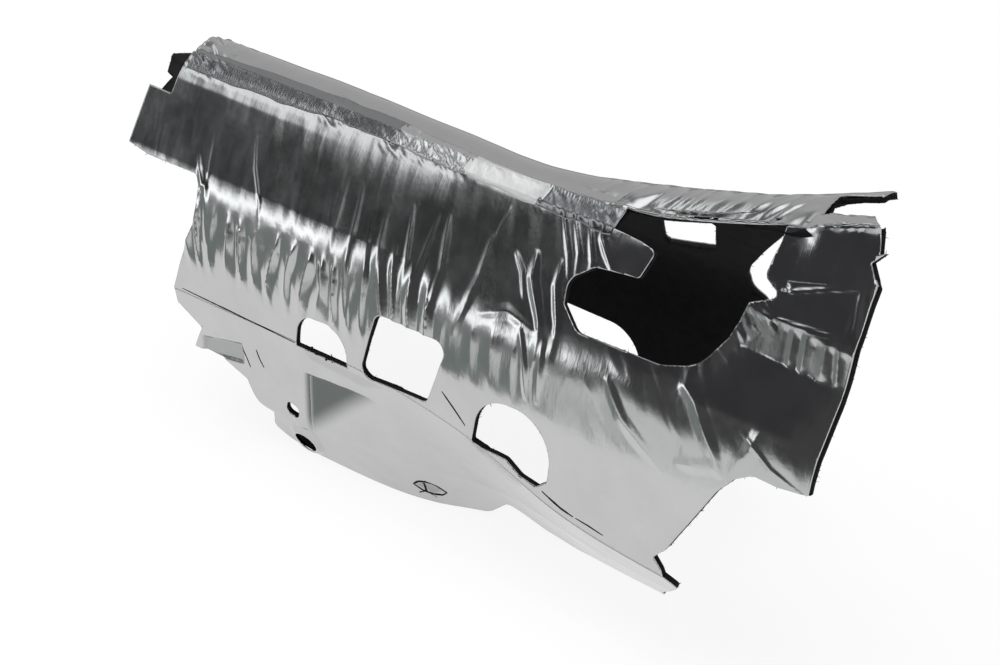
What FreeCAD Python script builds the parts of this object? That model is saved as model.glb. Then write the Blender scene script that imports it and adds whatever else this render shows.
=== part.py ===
import FreeCAD, Part
import os
import Sketcher

os.makedirs("parts", exist_ok=True)
doc = FreeCAD.newDocument("transmission_insulator")
Vector = FreeCAD.Vector
Rotation = FreeCAD.Rotation

# Frame: X runs along the gearbox to its bell housing end, -Y is the side that shows, Z is up.
# All sizes are in millimetres and stand in the sheet, each under its own name.
SIZES = {
    "half_length": 350.5,
    "half_depth": 126,
    "felt_thick": 4,
    "foil_thick": 0.4,
    "tape_thick": 0.4,
    "tape_seat": 0.1,
    "felt_margin": 2.5,
    "reach": 260,
    # cross-section that all stations share
    "belly_high": 200,
    "belly_in": 1.5,
    "belly_round": 150,
    "tuck_round": 60,
    "ridge_high": 301,
    "ridge_out": 65,
    "crown_round": 36,
    "back_shoulder_out": 112,
    "back_shoulder_high": 190,
    "back_round": 90,
    # where the front cutters stop and the back cutters start
    "front_stop": 20,
    "near_edge_out": 50.5,
    "roof_left_in": 28,
    "back_start": 10,
    # seam tape along the ridge
    "tape_wide": 18,
    "tape_out": 70,
    "tape_gap": 0.5,
    # bolt boss low on the flange
    "bolt_along": -153,
    "bolt_high": 16.5,
    "bolt_radius": 11,
    "boss_radius": 17,
    "boss_top_radius": 14,
    "boss_proud": 3,
}

# Each station is one cross-section of the shell: its place along the length, then the
# reaches and heights that change from one section to the next
MEASURES = ("along", "foot_out", "tuck_out", "tuck_high", "crease_high", "ridge_rise",
            "edge_in", "edge_rise", "crown_in", "crown_rise")
STATIONS = {
    "left_end": (None, 95, 115, 48, 122, 0, 10, 8, 40, 12),
    "left": (-150, 94, 115, 48, 130, 0, 10, 8, 40, 12),
    "mid_left": (-50, 85, 106, 50, 133, 0, 10, 8, 40, 9),
    "middle": (50, 54, 87, 50, 122, 0, 12, 8, 40, 8),
    "mid_right": (150, 51, 92, 46, 92, 2, 15, 13, 43, 31),
    "right": (250, 51, 94, 46, 84, 5, 14, 35, 50, 55),
    "right_end": (None, 50, 94, 46, 84, 30, 12, 43, 110, 67),
}
for station, values in STATIONS.items():
    for measure, value in zip(MEASURES, values):
        if value is not None:
            SIZES[f"{station}_{measure}"] = value

# Outlines seen from the front: corners as (across, up), and the corners that are rounded.
# Corners of the rims count inwards from their end of the shell, those of holes from a centre.
OUTLINES = {
    "left_rim": [
        (-60, 420), (28, 420), (28, 307), (7, 302), (13, 288), (21, 286), (12, 271), (0, 231),
        (26, 228), (87, 229), (94, 220), (95, 201), (86, 173), (67, 126), (68, 111), (95, 95),
        (88, 84), (80, 70), (117, 73), (145, 63), (154, 42), (169, 39), (158, 16), (172, 7),
        (203, 0), (203, -20), (-60, -20)],
    "right_rim": [
        (-60, 420), (6, 420), (4, 372), (2, 352), (10, 343), (4, 335), (0, 331), (0, 201),
        (25, 197), (44, 197), (58, 189), (70, 175), (91, 139), (108, 110), (119, 98), (112, 90),
        (105, 71), (133, 39), (162, 5), (162, -20), (-60, -20)],
    "scallop": [(-30, -20), (-30, 0), (20, 6), (50, 34), (62, 26), (76, 12), (108, 0), (108, -20)],
    "quad_hole": [(-28, 27), (47, 28), (27, -29), (-46, -33)],
    "arch_hole": [(-29, -21), (-25, 11), (32, 12), (29, -20)],
    "round_hole": [(-40, -8), (-32, 37), (41, 41), (34, -10), (24, -18), (8, -16), (-6, -8), (-26, -9)],
    "small_hole": [(-9, -5), (-4, 8), (9, 5), (4, -8)],
    "big_opening": [
        (-61, 150), (-61, 51), (-36, 50), (-21, 48), (-27, 29), (-64, 25), (-83, 12), (-79, -3),
        (-61, -16), (13, -14), (43, -5), (55, 17), (62, 42), (84, 53), (66, 60), (70, 84), (62, 150)],
    "stud_slit": [
        (-0.8, 0.5), (-0.8, 9), (0.8, 9), (0.8, 0.5), (8.2, -3.8), (7.4, -5.2), (0, -0.9),
        (-7.4, -5.2), (-8.2, -3.8)],
    "tape_patch_edge": [(64, 346), (66, 331), (38, 333), (37, 356)],
    "tab_bare": [(-20, 315), (28, 315), (28, 275), (-20, 275)],
    "slit_crease": [(-69, -2), (-69, -1), (69, 3), (69, 2)],
    "slit_flange": [(-27, 1), (-27, 0), (0, -5), (27, 0), (27, 1), (0, -4)],
    "slit_hole": [(-12, 10), (-11, 11), (13, -9), (12, -10)],
    "window_high": [(-40, -24), (22, -2), (48, 44), (2, 40)],
    "window_low": [(-12, -3), (-1, 9), (15, 4), (5, -8)],
    "back_arch": [(-134, -120), (-134, 5), (134, 5), (134, -120)],
    "roof_rim": [
        (62, -34), (64, -8), (37, 0), (35, 20), (43, 60), (-60, 60), (-60, -57), (6, -57), (20, -40)],
    "back_rim": [
        (-60, 420), (35, 420), (39, 353), (70, 342), (101, 322), (160, 259), (186, 230), (204, 206),
        (207, 188), (193, 180), (200, 140), (240, 60), (275, 0), (275, -20), (-60, -20)],
}
CENTRES = {
    "quad_hole": (-15, 161), "arch_hole": (-104, 148), "round_hole": (98, 126),
    "small_hole": (-153.5, 53), "big_opening": (200, 250), "slit_crease": (-202, 127),
    "slit_flange": (157, 101), "slit_hole": (39, 139.5), "window_high": (115, 238),
    "window_low": (120, 158), "stud_slit": (-31, 13), "back_arch": (-107, 92),
}
ROUNDS = {
    "left_rim": {9: 6, 10: 10, 11: 20, 18: 8, 20: 8, 22: 6},
    "right_rim": {9: 12, 11: 22, 12: 30, 13: 20, 16: 10, 17: 20},
    "scallop": {2: 20, 3: 8},
    "quad_hole": {0: 9, 1: 9, 2: 7, 3: 9},
    "arch_hole": {1: 22, 2: 24},
    "round_hole": {1: 34, 2: 32, 5: 8, 6: 8, 7: 8},
    "small_hole": {0: 5, 1: 5, 2: 5, 3: 5},
    "big_opening": {3: 4, 4: 3, 5: 8, 6: 10, 8: 14, 9: 30, 10: 30, 13: 3, 14: 5},
    "window_high": {0: 3, 1: 3, 2: 3, 3: 3},
    "window_low": {0: 2, 1: 2, 2: 2, 3: 2},
    "back_arch": {1: 40, 2: 30},
    "back_rim": {5: 10, 7: 14, 8: 8, 9: 6, 10: 30},
}
for outline, corners in OUTLINES.items():
    for i, (across, up) in enumerate(corners):
        SIZES[f"{outline}_{i}_across"] = across
        SIZES[f"{outline}_{i}_up"] = up
    for i, radius in ROUNDS.get(outline, {}).items():
        SIZES[f"{outline}_{i}_round"] = radius
for outline, (along, high) in CENTRES.items():
    SIZES[f"{outline}_along"] = along
    SIZES[f"{outline}_high"] = high

# Joints between the lengths of seam tape, from left to right along the ridge
TAPE_JOINTS = (-316, -150, -80, -5, 70, 137)
for i, along in enumerate(TAPE_JOINTS):
    SIZES[f"tape_joint_{i}"] = along

dims = doc.addObject("Spreadsheet::Sheet", "dims")
for row, (name, value) in enumerate(SIZES.items(), 1):
    dims.set(f"A{row}", name)
    dims.set(f"B{row}", str(value))
    dims.setAlias(f"B{row}", name)
doc.recompute()


# The flange's face at the bolt hole, between the left station's foot and tuck
FLANGE_LEAN = "(dims.left_tuck_out - dims.left_foot_out) / dims.left_tuck_high"
FLANGE_FACE = f"-(dims.left_foot_out + dims.bolt_high * {FLANGE_LEAN})"


def total(*terms):
    """A sum of named sizes, as the sheet's expression and as its present value."""
    signed = [(-1, term[1:]) if term.startswith("-") else (1, term) for term in terms]
    expression = " ".join(f"{'-' if sign < 0 else '+'} dims.{name}" for sign, name in signed)
    return expression.removeprefix("+ "), sum(sign * SIZES[name] for sign, name in signed)


def bind(thing, setting, expression):
    thing.setExpression(setting, expression)


def draw(sketch, corners, rounds, closed):
    """Join the corners with straight lines, pin each one to the sheet, then round some."""
    points = [Vector(across[1], up[1], 0) for across, up in corners]
    count = len(points)
    lines = count if closed else count - 1
    for i in range(lines):
        sketch.addGeometry(Part.LineSegment(points[i], points[(i + 1) % count]), False)
    for i in range(lines if closed else lines - 1):
        sketch.addConstraint(Sketcher.Constraint("Coincident", i, 2, (i + 1) % count, 1))
    for i, corner in enumerate(corners):
        line, end = (i, 1) if i < lines else (i - 1, 2)
        for kind, (expression, place) in zip(("DistanceX", "DistanceY"), corner):
            index = sketch.addConstraint(Sketcher.Constraint(kind, -1, 1, line, end, place))
            if expression:
                bind(sketch, f"Constraints[{index}]", expression)
    for i, (expression, radius) in rounds.items():
        before = (points[i - 1] + points[i]) / 2
        after = (points[i] + points[(i + 1) % count]) / 2
        sketch.fillet((i - 1) % count, i, before, after, radius, True, True)
        arc = sketch.GeometryCount - 2
        index = sketch.addConstraint(Sketcher.Constraint("Radius", arc, radius))
        bind(sketch, f"Constraints[{index}]", expression)


def section(station):
    """One cross-section of the felt's outer face, from foot to foot over the crown."""
    floor = ("", 0)
    corners = [
        (total(f"-{station}_foot_out"), floor),
        (total(f"-{station}_tuck_out"), total(f"{station}_tuck_high")),
        (total("-half_depth"), total(f"{station}_crease_high")),
        (total("-half_depth", "belly_in"), total("belly_high")),
        (total("-ridge_out"), total("ridge_high", f"{station}_ridge_rise")),
        (total("-ridge_out", f"{station}_edge_in"),
         total("ridge_high", f"{station}_ridge_rise", f"{station}_edge_rise")),
        (total("-ridge_out", f"{station}_crown_in"), total("ridge_high", f"{station}_crown_rise")),
        (total("back_shoulder_out"), total("back_shoulder_high")),
        (total("half_depth"), floor),
    ]
    rounds = {1: total("tuck_round"), 3: total("belly_round"),
              6: total("crown_round"), 7: total("back_round")}
    sketch = doc.addObject("Sketcher::SketchObject", f"section_{station}")
    sketch.Placement = FreeCAD.Placement(Vector(), Rotation(Vector(1, 1, 1), 120))
    along = {"left_end": "-dims.half_length", "right_end": "dims.half_length"}
    bind(sketch, "Placement.Base.x", along.get(station, f"dims.{station}_along"))
    draw(sketch, corners, rounds, closed=False)
    return sketch


def offset(name, source, distance, fill):
    """A line at a distance from the source, or with fill the strip between the two."""
    line = doc.addObject("Part::Offset2D", name)
    line.Source = source
    line.Mode = "Skin"
    line.Join = "Intersection"
    line.Fill = fill
    bind(line, "Value", distance)
    return line


def layer(name, lines, distance):
    """A skin on one side of the lines of all stations, lofted from end to end of the shell."""
    loft = doc.addObject("Part::Loft", name)
    loft.Sections = [offset(f"{name}_{station}", line, distance, True)
                     for station, line in lines.items()]
    loft.Solid = True
    loft.Ruled = True
    return loft


def outline(name, start):
    """An outline on the plane that lies at start along Y, or along Z for the one from above."""
    corners = []
    for i in range(len(OUTLINES[name])):
        across, up = f"{name}_{i}_across", f"{name}_{i}_up"
        if name in ("left_rim", "tab_bare"):
            corner = (total("-half_length", across), total(up))
        elif name in ("right_rim", "back_rim", "roof_rim", "tape_patch_edge"):
            corner = (total("half_length", f"-{across}"), total(up))
        elif name in CENTRES:
            corner = (total(f"{name}_along", across), total(f"{name}_high", up))
        else:
            corner = (total(across), total(up))
        corners.append(corner)
    rounds = {i: total(f"{name}_{i}_round") for i in ROUNDS.get(name, {})}
    sketch = doc.addObject("Sketcher::SketchObject", f"{name}_outline")
    if name == "roof_rim":
        bind(sketch, "Placement.Base.z", start)
    else:
        sketch.Placement = FreeCAD.Placement(Vector(), Rotation(Vector(1, 0, 0), 90))
        bind(sketch, "Placement.Base.y", start)
    draw(sketch, corners, rounds, closed=True)
    return sketch


def prism(name, start, end):
    """A cutter of that outline, running straight from start to end."""
    cutter = doc.addObject("Part::Extrusion", name)
    cutter.Base = outline(name, start)
    cutter.DirMode = "Custom"
    cutter.Dir = Vector(0, 0, 1) if name == "roof_rim" else Vector(0, 1, 0)
    cutter.Solid = True
    bind(cutter, "LengthFwd", f"({end}) - ({start})")
    return cutter


def box(name, low, high):
    """A box between two corners that are given as expressions."""
    block = doc.addObject("Part::Box", name)
    for axis, size, start, end in zip("xyz", ("Length", "Width", "Height"), low, high):
        bind(block, f"Placement.Base.{axis}", start)
        bind(block, size, f"({end}) - ({start})")
    return block


def cut(name, base, *tools):
    """The base without the tools."""
    result = doc.addObject("Part::Cut", name)
    result.Base = base
    result.Tool = tools[0] if len(tools) == 1 else fuse(f"{name}_tools", *tools)
    return result


def common(name, base, tool):
    """What the base and the tool share."""
    result = doc.addObject("Part::Common", name)
    result.Base = base
    result.Tool = tool
    return result


def fuse(name, *pieces):
    result = doc.addObject("Part::MultiFuse", name)
    result.Shapes = list(pieces)
    return result


def upright(kind, name, start, end, **radii):
    """A cone or cylinder square on the flange at the bolt hole, its ends counted from the face."""
    turned = doc.addObject(kind, name)
    for setting, radius in radii.items():
        bind(turned, setting, radius)
    bind(turned, "Height", f"({end}) - ({start})")
    turned.Placement = FreeCAD.Placement(Vector(), Rotation(Vector(1, 0, 0), 110))
    bind(turned, "Placement.Rotation.Angle", f"90deg + atan({FLANGE_LEAN})")
    bind(turned, "Placement.Base.x", "dims.bolt_along")
    bind(turned, "Placement.Base.y", f"{FLANGE_FACE} - ({start}) * cos(atan({FLANGE_LEAN}))")
    bind(turned, "Placement.Base.z", f"dims.bolt_high - ({start}) * sin(atan({FLANGE_LEAN}))")
    return turned


sections = {station: section(station) for station in STATIONS}
doc.recompute()

# Cutters that go through the felt and the foil alike
front = ("-dims.reach", "-dims.front_stop")
near = ("-dims.reach", "-dims.near_edge_out")
back = ("dims.back_start", "dims.reach")
through = [prism(name, *front) for name in ("left_rim", "right_rim", "scallop", "quad_hole",
                                            "arch_hole", "round_hole", "small_hole", "stud_slit")]
through += [prism("big_opening", *near), prism("roof_rim", "dims.belly_high", "2 * dims.reach")]
through += [prism(name, *back) for name in ("window_high", "window_low", "back_arch", "back_rim")]
through += [box("floor_trim", ("-2 * dims.half_length", "-dims.reach", "-dims.reach"),
                ("2 * dims.half_length", "dims.reach", "0")),
            box("roof_left_trim", ("-2 * dims.half_length", "-dims.front_stop", "-dims.reach"),
                ("-dims.half_length + dims.roof_left_in", "dims.reach", "2 * dims.reach"))]
through.append(upright("Part::Cylinder", "bolt_hole", "-2 * dims.felt_thick",
                       "2 * dims.felt_thick", Radius="dims.bolt_radius"))
openings = fuse("openings", *through)

root = "-dims.felt_thick / 2"
boss = upright("Part::Cone", "bolt_boss", root, "dims.boss_proud",
               Radius1="dims.boss_radius", Radius2="dims.boss_top_radius")
felt_wall = layer("felt_wall", sections, "dims.felt_thick")
felt = cut("felt_backing", fuse("felt_with_boss", felt_wall, boss), openings)

cap = upright("Part::Cone", "cap_cone", root, "dims.boss_proud + dims.foil_thick",
              Radius1="dims.boss_radius + dims.foil_thick",
              Radius2="dims.boss_top_radius + dims.foil_thick")
below = upright("Part::Cylinder", "cap_root", root, "0", Radius="1.5 * dims.boss_radius")
foil_skin = layer("foil_skin", sections, "-dims.foil_thick")
foil_only = [prism(name, *front) for name in ("tab_bare", "slit_crease", "slit_flange", "slit_hole")]
foil_only.append(box("margin_trim", ("dims.half_length - dims.felt_margin", "-dims.reach", "0"),
                     ("2 * dims.half_length", "dims.reach", "2 * dims.reach")))
foil = cut("foil_facing", fuse("foil_with_cap", cut("foil_round_boss", foil_skin, boss),
                               cut("boss_cap", cap, boss, below)),
           openings, *foil_only)

# Tape lies on the foil with a thin bed of glue: the layer above it, cut to the ridge and patch
foil_lines = {station: offset(f"foil_face_{station}", line, "-dims.foil_thick - dims.tape_seat", False)
              for station, line in sections.items()}
tape_layer = layer("tape_layer", foil_lines, "-dims.tape_thick")
tapes = []
for i in range(len(TAPE_JOINTS) - 1):
    length = box(f"tape_length_{i + 1}",
                 (f"dims.tape_joint_{i} + dims.tape_gap", "-dims.tape_out", "dims.belly_high"),
                 (f"dims.tape_joint_{i + 1}", "-dims.tape_out + dims.tape_wide", "2 * dims.reach"))
    tapes.append(common(f"seam_tape_{i + 1}", tape_layer, length))
tapes.append(common("tape_patch", tape_layer, prism("tape_patch_edge", *front)))
doc.recompute()

for piece in (felt, foil, *tapes):
    piece.Label = piece.Name
    if "Invalid" in piece.State or piece.Shape.isNull() or not piece.Shape.isValid():
        raise RuntimeError(f"{piece.Label} has no valid solid")
    piece.Shape.exportStep(f"parts/{piece.Label}.step")
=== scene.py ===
import math

import bmesh
import bpy
import numpy as np
from mathutils import Matrix, Vector, noise


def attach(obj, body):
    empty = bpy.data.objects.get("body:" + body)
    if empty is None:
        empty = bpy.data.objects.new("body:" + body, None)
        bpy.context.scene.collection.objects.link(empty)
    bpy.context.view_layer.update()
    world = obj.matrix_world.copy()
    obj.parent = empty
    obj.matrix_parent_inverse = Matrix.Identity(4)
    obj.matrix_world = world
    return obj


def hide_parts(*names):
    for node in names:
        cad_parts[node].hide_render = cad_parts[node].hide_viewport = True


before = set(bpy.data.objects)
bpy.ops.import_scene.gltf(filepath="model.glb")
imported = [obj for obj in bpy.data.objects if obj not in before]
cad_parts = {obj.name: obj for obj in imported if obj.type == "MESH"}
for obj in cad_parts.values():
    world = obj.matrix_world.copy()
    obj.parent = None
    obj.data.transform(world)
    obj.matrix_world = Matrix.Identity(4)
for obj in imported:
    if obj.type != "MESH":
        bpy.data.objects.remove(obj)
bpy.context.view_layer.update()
MM = 0.001

# The shell's cross-sections, in millimetres as on the drawing: place along the length, foot out,
# tuck out, tuck high, crease high, ridge rise, edge in, edge rise, crown in, crown rise
STATIONS = (
    (-350.5, 95, 115, 48, 122, 0, 10, 8, 40, 12),
    (-150, 94, 115, 48, 130, 0, 10, 8, 40, 12),
    (-50, 85, 106, 50, 133, 0, 10, 8, 40, 9),
    (50, 54, 87, 50, 122, 0, 12, 8, 40, 8),
    (150, 51, 92, 46, 92, 2, 15, 13, 43, 31),
    (250, 51, 94, 46, 84, 5, 14, 35, 50, 55),
    (350.5, 50, 94, 46, 84, 30, 12, 43, 110, 67),
)
LENGTH = 701.0
HALF_DEPTH = 126
BELLY_HIGH = 200
BELLY_IN = 1.5
RIDGE_HIGH = 301
RIDGE_OUT = 65
SHOULDER = (112, 190)
# Radius at each corner of the section that is rounded
ROUNDS = {1: 60, 3: 150, 6: 36, 7: 90}
FELT_THICK = 4.0

# Rows of mesh over each stretch of the section, from the front foot over the crown to the back
ROWS = {
    "flange": 26, "tuck": 9, "ledge": 36, "wall": 24, "belly": 44, "barrel": 48, "ridge": 8,
    "roof_edge": 8, "crown": 18, "back_slope": 34, "shoulder": 12, "back_leg": 44,
}
COLUMNS = 440


def section(station):
    """Points of one cross-section's outer line, (out, up), the same count at each station."""
    _, foot, tuck, tuck_high, crease, rise, edge_in, edge_rise, crown_in, crown_rise = station
    top = RIDGE_HIGH + rise
    corners = np.array([
        (-foot, 0), (-tuck, tuck_high), (-HALF_DEPTH, crease),
        (-HALF_DEPTH + BELLY_IN, BELLY_HIGH),
        (-RIDGE_OUT, top), (-RIDGE_OUT + edge_in, top + edge_rise),
        (-RIDGE_OUT + crown_in, RIDGE_HIGH + crown_rise), SHOULDER, (HALF_DEPTH, 0)], float)
    stretches = []
    start = corners[0]
    for i in range(1, len(corners)):
        corner = corners[i]
        if i not in ROUNDS:
            stretches.append(("line", start, corner))
            start = corner
            continue
        back = corners[i - 1] - corner
        ahead = corners[i + 1] - corner
        back /= np.linalg.norm(back)
        ahead /= np.linalg.norm(ahead)
        half = math.acos(float(np.clip(back @ ahead, -1, 1))) / 2
        reach = ROUNDS[i] / math.tan(half)
        middle = back + ahead
        centre = corner + middle / np.linalg.norm(middle) * ROUNDS[i] / math.sin(half)
        stretches.append(("line", start, corner + back * reach))
        stretches.append(("arc", corner + back * reach, corner + ahead * reach, centre))
        start = corner + ahead * reach
    points = [corners[0]]
    for (kind, *ends), rows in zip(stretches, ROWS.values()):
        for step in range(1, rows + 1):
            part = step / rows
            if kind == "line":
                points.append(ends[0] + (ends[1] - ends[0]) * part)
                continue
            first = ends[0] - ends[2]
            last = ends[1] - ends[2]
            turn = math.atan2(first[0] * last[1] - first[1] * last[0], float(first @ last)) * part
            points.append(ends[2] + (first[0] * math.cos(turn) - first[1] * math.sin(turn),
                                     first[0] * math.sin(turn) + first[1] * math.cos(turn)))
    return np.array(points)


def along_stations(values, x, smooth):
    """Values given at each station, taken at x: straight between stations, or a smooth curve."""
    knots = np.array([station[0] for station in STATIONS])
    span = np.clip(np.searchsorted(knots, x, side="right") - 1, 0, len(knots) - 2)
    low, high = knots[span], knots[span + 1]
    part = ((x - low) / (high - low))[:, None, None]
    straight = values[span] * (1 - part) + values[span + 1] * part
    if not smooth:
        return straight
    slopes = np.gradient(values, knots, axis=0)
    width = (high - low)[:, None, None]
    rise = slopes[span] * width * (part - 2 * part**2 + part**3)
    fall = slopes[span + 1] * width * (part**3 - part**2)
    ease = 3 * part**2 - 2 * part**3
    return values[span] * (1 - ease) + values[span + 1] * ease + rise + fall


class Shell:
    """The moulded surface as a lattice, so that any point of it is found by its two shares."""

    def __init__(self):
        x = np.linspace(-LENGTH / 2, LENGTH / 2, COLUMNS + 1)
        lines = np.array([section(station) for station in STATIONS])
        self.ruled = self.lattice(x, along_stations(lines, x, False))
        self.smooth = self.lattice(x, along_stations(lines, x, True))
        self.ruled_out = self.normals(self.ruled)
        self.smooth_out = self.normals(self.smooth)
        steps = np.linalg.norm(np.diff(self.smooth, axis=1), axis=2)
        run = np.concatenate([np.zeros((len(x), 1)), np.cumsum(steps, axis=1)], axis=1)
        crease = ROWS["flange"] + ROWS["tuck"] + ROWS["ledge"]
        self.run = run - run[:, crease:crease + 1]
        self.rows = lines.shape[1] - 1

    @staticmethod
    def lattice(x, lines):
        """Points from the line across the shell at each place x along it."""
        along = np.broadcast_to(x[:, None, None], lines.shape[:2] + (1,))
        return np.concatenate([along, lines], axis=2)

    @staticmethod
    def normals(points):
        """The way out of the surface at each point of a lattice."""
        out = np.cross(np.gradient(points, axis=0), np.gradient(points, axis=1))
        return out / np.linalg.norm(out, axis=2, keepdims=True)

    def at(self, field, shares):
        """A field of the lattice at shares (along, around) of the whole."""
        u = np.clip(shares[:, 0] * COLUMNS, 0, COLUMNS - 1e-6)
        v = np.clip(shares[:, 1] * self.rows, 0, self.rows - 1e-6)
        i, j = u.astype(int), v.astype(int)
        a, b = u - i, v - j
        if field.ndim == 3:
            a, b = a[:, None], b[:, None]
        return (field[i, j] * (1 - a) * (1 - b) + field[i + 1, j] * a * (1 - b)
                + field[i, j + 1] * (1 - a) * b + field[i + 1, j + 1] * a * b)


shell = Shell()


def row_of(stretch):
    """The first row of a stretch of the section."""
    names = list(ROWS)
    return sum(ROWS[name] for name in names[:names.index(stretch)])


def piece_of(bm, name, smooth=False):
    """A new object with the mesh that was built."""
    for face in bm.faces:
        face.smooth = smooth
    mesh = bpy.data.meshes.new(name)
    bm.to_mesh(mesh)
    bm.free()
    piece = bpy.data.objects.new(name, mesh)
    bpy.context.scene.collection.objects.link(piece)
    return piece


def add_grid(bm, columns, rows):
    """The points of a new grid, and how far along and up it each is, from 0 to 1."""
    points = bmesh.ops.create_grid(bm, x_segments=columns, y_segments=rows, size=0.5)["verts"]
    return points, np.array([point.co[:2] for point in points]) + 0.5


def sheet_grid(name, columns, rows, low, high):
    """A flat grid bent onto the moulded surface between two rows of it, in the felt's middle."""
    bm = bmesh.new()
    layer = bm.loops.layers.uv.new("shares")
    points, flat = add_grid(bm, columns, rows)
    low, high = low / shell.rows, high / shell.rows
    shares = np.stack([flat[:, 0], low + (high - low) * flat[:, 1]], axis=1)
    middle = shell.at(shell.ruled, shares) - shell.at(shell.ruled_out, shares) * FELT_THICK / 2
    for point, place, share in zip(points, middle * MM, shares):
        point.co = place
        for loop in point.link_loops:
            loop[layer].uv = share
    return piece_of(bm, name)


def put_on_shell(points, shares, lift):
    """Move points to their shares of the true surface, and out from it by the lift."""
    places = shell.at(shell.smooth, shares) + shell.at(shell.smooth_out, shares) * lift[:, None]
    for point, place in zip(points, places * MM):
        point.co = place


def remove_faces(piece, unwanted):
    """Remove the faces of a piece for which a test says yes."""
    bm = bmesh.new()
    bm.from_mesh(piece.data)
    bmesh.ops.delete(bm, geom=[face for face in bm.faces if unwanted(face)], context="FACES")
    bm.to_mesh(piece.data)
    bm.free()


def trim_to_felt(piece):
    """Keep what lies in the felt's wall, so that every rim and hole is where the frame has it."""
    wall = bmesh.new()
    wall.from_mesh(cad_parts["felt_backing"].data)
    bmesh.ops.remove_doubles(wall, verts=wall.verts, dist=1e-6)
    cutter = piece_of(wall, "felt_cutter")
    cutter.data.materials.clear()
    cutter.data.materials.append(bpy.data.materials.new("cutter_faces"))
    piece.data.materials.append(bpy.data.materials.new("kept_faces"))
    modifier = piece.modifiers.new("trim", "BOOLEAN")
    modifier.operation = "INTERSECT"
    modifier.solver = "FAST"
    modifier.material_mode = "TRANSFER"
    modifier.object = cutter
    evaluated = piece.evaluated_get(bpy.context.evaluated_depsgraph_get())
    trimmed = bpy.data.meshes.new_from_object(evaluated)
    piece.modifiers.clear()
    piece.data = trimmed
    names = [material.name if material else "" for material in trimmed.materials]
    remove_faces(piece, lambda face: names[face.material_index].startswith("cutter"))
    bpy.data.objects.remove(cutter)
    return piece


def ramp(value, low, high):
    """A smooth step from 0 at low to 1 at high."""
    part = np.clip((value - low) / (high - low), 0, 1)
    return part * part * (3 - 2 * part)


def window(value, low, high, soft):
    """1 between low and high, fading out over the soft width on each side."""
    return ramp(value, low - soft, low + soft) * (1 - ramp(value, high - soft, high + soft))


# Places along each side of a table of random heights
TABLE = 61


def random_table(seed):
    """Random heights between -1 and 1."""
    return np.random.default_rng(seed).uniform(-1, 1, (TABLE, TABLE))


def planes(table, a, b):
    """Straight facets between random heights on a lattice of triangles."""
    a = a + b / 2
    i, j = np.floor(a).astype(int), np.floor(b).astype(int)
    a, b = a - i, b - j
    corner = table[i % TABLE, j % TABLE]
    right = table[(i + 1) % TABLE, j % TABLE]
    upper = table[i % TABLE, (j + 1) % TABLE]
    far = table[(i + 1) % TABLE, (j + 1) % TABLE]
    return np.where(a + b < 1, corner + a * (right - corner) + b * (upper - corner),
                    far + (1 - a) * (upper - far) + (1 - b) * (right - far))


def facets(x, s, wide, tall, lean, seed):
    """Crushed foil: long or short triangular facets of uneven size, between -1 and 1."""
    table = random_table(seed)
    a, b = (x + lean * s) / wide, s / tall
    shift = planes(table, a * 0.31 + 7, b * 0.43 + 3)
    return planes(table, a + 0.7 * shift, b + 0.5 * planes(table, a * 0.4 + 20, b * 0.3 + 11))


def pleats(x, s, spacing, lean, seed):
    """Rows of upright folds, hollow between sharp ridges, of uneven spacing and height."""
    table = random_table(seed)
    turn = (x + lean * s) / spacing
    turn = turn + 0.5 * planes(table, turn * 0.5 + 5, s / 90 + 2)
    fold = np.floor(turn)
    part = turn - fold
    row = fold.astype(int) % TABLE
    height = 0.75 + 0.35 * table[row, 30]
    bottom = 0.5 + 0.22 * table[row, 17]
    reach = np.where(part < bottom, part / bottom, (1 - part) / (1 - bottom))
    return height * ((1 - reach) ** 1.3 - 0.43)


def crease(x, s, path, height, width):
    """A pinched fold along a path, sharp on top and fading out towards its two ends."""
    path = np.array(path, float)
    steps = np.diff(path, axis=0)
    lengths = np.linalg.norm(steps, axis=1)
    starts = np.concatenate([[0], np.cumsum(lengths)[:-1]])
    whole = lengths.sum()
    raised = np.zeros_like(x)
    low, high = path.min(axis=0) - width, path.max(axis=0) + width
    near = np.flatnonzero((x > low[0]) & (x < high[0]) & (s > low[1]) & (s < high[1]))
    if not len(near):
        return raised
    px, ps = x[near], s[near]
    best = np.full(len(near), 1e9)
    done = np.zeros(len(near))
    for start, step, length, offset in zip(path[:-1], steps, lengths, starts):
        part = np.clip(((px - start[0]) * step[0] + (ps - start[1]) * step[1]) / length**2, 0, 1)
        gap = np.hypot(px - start[0] - part * step[0], ps - start[1] - part * step[1])
        closer = gap < best
        best = np.where(closer, gap, best)
        done = np.where(closer, (offset + part * length) / whole, done)
    reach = width * (0.35 + 0.65 * np.sin(np.pi * np.clip(done, 0.02, 0.98)) ** 0.5)
    raised[near] = height * np.sin(np.pi * done) ** 0.6 * np.clip(1 - best / reach, 0, 1) ** 1.15
    return raised


def edge_gap(x, s, start, end, inner):
    """Distance from a line through two places, positive on the side of the inner place."""
    along = np.subtract(end, start) / np.hypot(*np.subtract(end, start))
    gap = (x - start[0]) * along[1] - (s - start[1]) * along[0]
    side = (inner[0] - start[0]) * along[1] - (inner[1] - start[1]) * along[0]
    return gap * np.sign(side)


def dent(x, s, corners, slope, depth):
    """A pressed-in field with straight sides: how deep it is inside a convex outline."""
    middle = np.mean(corners, axis=0)
    gaps = [edge_gap(x, s, start, end, middle)
            for start, end in zip(corners, corners[1:] + corners[:1])]
    return np.clip(np.minimum.reduce(gaps) * slope, 0, depth)


RIDGE_ROW = row_of("ridge")


def ridge_run(x):
    """How far up the surface the ridge is from the crease, at that place along the length."""
    return np.interp(x, shell.smooth[:, 0, 0], shell.run[:, RIDGE_ROW])


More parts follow.
